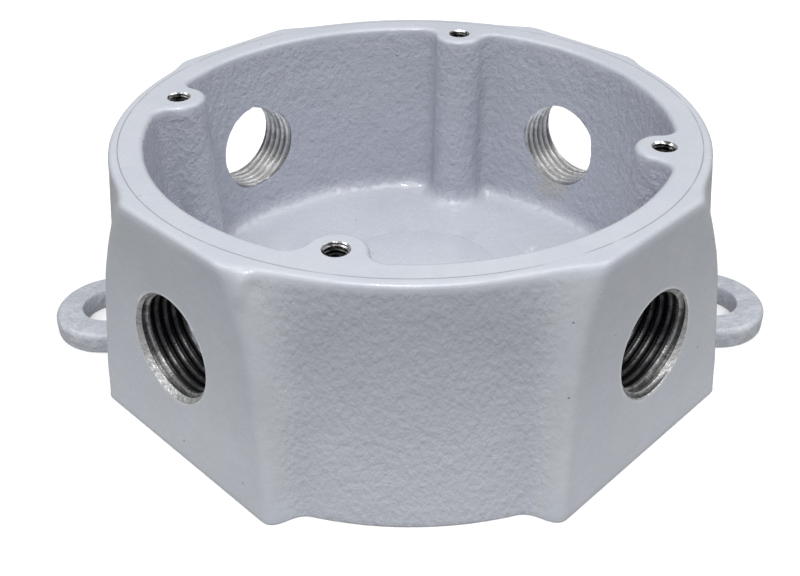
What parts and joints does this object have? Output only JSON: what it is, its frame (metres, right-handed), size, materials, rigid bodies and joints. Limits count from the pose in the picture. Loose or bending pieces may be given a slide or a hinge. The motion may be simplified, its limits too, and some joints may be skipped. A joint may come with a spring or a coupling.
{
  "type": "electrical junction box",
  "caption": "Round cast weatherproof junction box, open on top, with threaded conduit entries, mounting lugs and a ground screw.",
  "frame": {"origin": "centre of the box's outline on the mounting face", "axes": "+Z from the mounting face to the open rim, +X along the line of the two mounting lugs, conduit entries on the diagonals between X and Y"},
  "size_m": [0.1558, 0.1278, 0.0473],
  "materials": {
    "casting": "grey semi-gloss enamel over cast aluminium, bare metal in the threads",
    "zinc_plate": "bright zinc plate",
    "green_screw": "green dyed zinc plate"
  },
  "bodies": {
    "box": {"box_body": "casting"},
    "ground_clamp": {"ground_clamp": "zinc_plate", "ground_lock_washer": "zinc_plate"},
    "ground_screw": {"ground_screw": "green_screw"}
  },
  "joints": [
    {"name": "ground_clamp_lift", "type": "slide", "parent": "box", "child": "ground_clamp", "axis": [0, 0, 1], "range_m": [0, 0.00238]},
    {"name": "ground_screw_turn", "type": "hinge", "parent": "ground_clamp", "child": "ground_screw", "pos_m": [0, -0.024, 0.008], "axis": [0, 0, 1], "range_deg": [0, 1080]}
  ],
  "couplings": [
    {"joint": "ground_screw_turn", "follows": "ground_clamp_lift", "rad_per_m": 7915.8}
  ]
}
